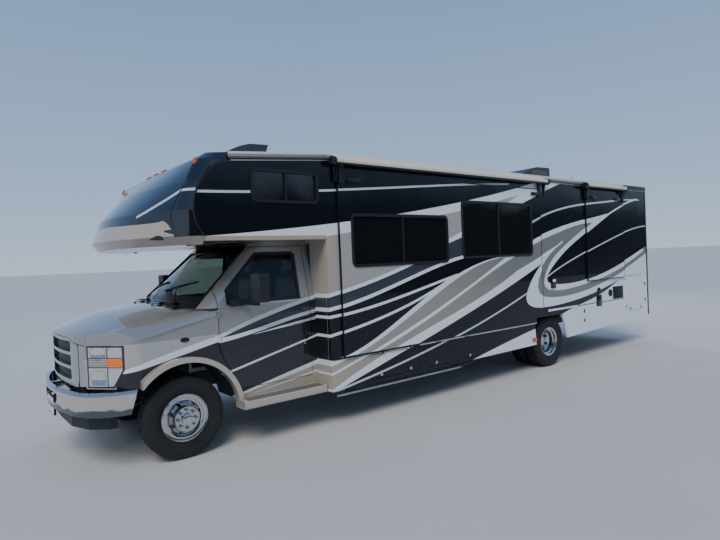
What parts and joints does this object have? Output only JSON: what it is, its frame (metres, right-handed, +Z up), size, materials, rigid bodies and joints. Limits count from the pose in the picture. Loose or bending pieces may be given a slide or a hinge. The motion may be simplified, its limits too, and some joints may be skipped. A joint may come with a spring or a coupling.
{
  "type": "motorhome",
  "caption": "Class C motorhome on a cutaway van cab with a cab-over bunk, slide-out rooms, side doors, luggage doors and twin rear wheels that roll.",
  "frame": {"origin": "on the ground under the middle of the vehicle's length and width", "axes": "+X forward, +Y to the vehicle's left, +Z up"},
  "size_m": [10.0298, 2.88, 3.325],
  "materials": {
    "chassis_black": "satin",
    "engine_grey": "matte",
    "cast_grey": "matte",
    "tyre": "matte",
    "bright_steel": "polished",
    "black_plastic": "matte",
    "pipe_steel": "satin",
    "cab_silver": "gloss",
    "clear_glass": "gloss",
    "dark_glass": "gloss",
    "chrome": "polished",
    "lamp_clear": "gloss",
    "lamp_red": "gloss",
    "beige_paint": "gloss",
    "grey_plastic": "matte",
    "beige_leather": "satin",
    "floor_board": "satin",
    "coach_paint": "gloss",
    "roof_white": "satin",
    "step_aluminium": "satin",
    "ivory_fabric": "satin"
  },
  "bodies": {
    "coach": {"awning": "ivory_fabric", "cab_seats": "beige_leather", "cab_shell": "cab_silver", "cab_surround": "beige_paint", "chassis_frame": "chassis_black", "coach_floor": "floor_board", "coach_windows": "dark_glass", "dashboard": "grey_plastic", "engine": "engine_grey", "exhaust": "pipe_steel", "flares": "beige_paint", "front_axle": "chassis_black", "front_bumper": "chrome", "front_cap": "coach_paint", "grille": "chrome", "headlamps": "lamp_clear", "ladder": "step_aluminium", "liners_valance": "black_plastic", "rear_axle": "chassis_black", "rear_bumper": "chassis_black", "roof": "roof_white", "roof_units": "roof_white", "skirts": "coach_paint", "storage_tubs": "black_plastic", "tail_lamps": "lamp_red", "underbody_tanks": "black_plastic", "wall_left": "coach_paint", "wall_rear": "coach_paint", "wall_right": "coach_paint", "windshield": "clear_glass"},
    "knuckle_left": {"knuckle_left": "cast_grey"},
    "knuckle_right": {"knuckle_right": "cast_grey"},
    "wheel_front_left": {"tyre_front_left": "tyre", "rim_front_left": "bright_steel"},
    "wheel_front_right": {"tyre_front_right": "tyre", "rim_front_right": "bright_steel"},
    "wheels_rear_left": {"tyres_rear_left": "tyre", "rims_rear_left": "bright_steel"},
    "wheels_rear_right": {"tyres_rear_right": "tyre", "rims_rear_right": "bright_steel"},
    "cab_door_left": {"cab_door_left": "cab_silver", "door_glass_left": "clear_glass", "mirror_left": "black_plastic"},
    "cab_door_right": {"cab_door_right": "cab_silver", "door_glass_right": "clear_glass", "mirror_right": "black_plastic"},
    "hood": {"hood": "cab_silver"},
    "entry_door": {"entry_door": "coach_paint"},
    "entry_step": {"entry_step": "step_aluminium"},
    "hatch_left_1": {"hatch_left_1": "coach_paint"},
    "hatch_left_2": {"hatch_left_2": "coach_paint"},
    "hatch_left_rear": {"hatch_left_rear": "coach_paint"},
    "hatch_right_1": {"hatch_right_1": "coach_paint"},
    "hatch_right_rear": {"hatch_right_rear": "coach_paint"},
    "slide_main": {"slide_main": "coach_paint", "slide_main_windows": "dark_glass", "topper_main": "ivory_fabric"},
    "slide_rear": {"slide_rear": "coach_paint", "topper_rear": "ivory_fabric"}
  },
  "joints": [
    {"name": "steer_left", "type": "hinge", "parent": "coach", "child": "knuckle_left", "pos_m": [4.055, 0.775, 0.385], "axis": [0, 0, 1], "range_deg": [-30, 30]},
    {"name": "steer_right", "type": "hinge", "parent": "coach", "child": "knuckle_right", "pos_m": [4.055, -0.775, 0.385], "axis": [0, 0, 1], "range_deg": [-30, 30]},
    {"name": "roll_front_left", "type": "hinge", "parent": "knuckle_left", "child": "wheel_front_left", "pos_m": [4.055, 0.88, 0.385], "axis": [0, 1, 0], "continuous": true},
    {"name": "roll_front_right", "type": "hinge", "parent": "knuckle_right", "child": "wheel_front_right", "pos_m": [4.055, -0.88, 0.385], "axis": [0, 1, 0], "continuous": true},
    {"name": "roll_rear_left", "type": "hinge", "parent": "coach", "child": "wheels_rear_left", "pos_m": [-1.647, 1.085, 0.385], "axis": [0, 1, 0], "continuous": true},
    {"name": "roll_rear_right", "type": "hinge", "parent": "coach", "child": "wheels_rear_right", "pos_m": [-1.647, -1.085, 0.385], "axis": [0, 1, 0], "continuous": true},
    {"name": "cab_door_left_hinge", "type": "hinge", "parent": "coach", "child": "cab_door_left", "pos_m": [3.697, 1.012, 1.1], "axis": [0, 0, -1], "range_deg": [0, 68]},
    {"name": "cab_door_right_hinge", "type": "hinge", "parent": "coach", "child": "cab_door_right", "pos_m": [3.697, -1.012, 1.1], "axis": [0, 0, 1], "range_deg": [0, 68]},
    {"name": "hood_hinge", "type": "hinge", "parent": "coach", "child": "hood", "pos_m": [4.033, 0, 1.436], "axis": [0, -1, 0], "range_deg": [0, 50]},
    {"name": "entry_door_hinge", "type": "hinge", "parent": "coach", "child": "entry_door", "pos_m": [-0.2725, -1.271, 1.5], "axis": [0, 0, 1], "range_deg": [0, 110]},
    {"name": "entry_step_slide", "type": "slide", "parent": "coach", "child": "entry_step", "axis": [0, -1, 0], "range_m": [0, 0.26]},
    {"name": "slide_main_travel", "type": "slide", "parent": "coach", "child": "slide_main", "axis": [0, 1, 0], "range_m": [0, 0.6]},
    {"name": "slide_rear_travel", "type": "slide", "parent": "coach", "child": "slide_rear", "axis": [0, 1, 0], "range_m": [0, 0.6]},
    {"name": "hatch_left_1_hinge", "type": "hinge", "parent": "coach", "child": "hatch_left_1", "pos_m": [1.645, 1.271, 0.7175], "axis": [1, 0, 0], "range_deg": [0, 90]},
    {"name": "hatch_left_2_hinge", "type": "hinge", "parent": "coach", "child": "hatch_left_2", "pos_m": [0.665, 1.271, 0.7175], "axis": [1, 0, 0], "range_deg": [0, 90]},
    {"name": "hatch_left_rear_hinge", "type": "hinge", "parent": "coach", "child": "hatch_left_rear", "pos_m": [-4.395, 1.271, 1.2925], "axis": [1, 0, 0], "range_deg": [0, 100]},
    {"name": "hatch_right_1_hinge", "type": "hinge", "parent": "coach", "child": "hatch_right_1", "pos_m": [1.645, -1.271, 0.7175], "axis": [-1, 0, 0], "range_deg": [0, 90]},
    {"name": "hatch_right_rear_hinge", "type": "hinge", "parent": "coach", "child": "hatch_right_rear", "pos_m": [-4.395, -1.271, 1.2925], "axis": [-1, 0, 0], "range_deg": [0, 100]}
  ],
  "couplings": [
    {"joint": "steer_right", "follows": "steer_left", "ratio": 1}
  ]
}
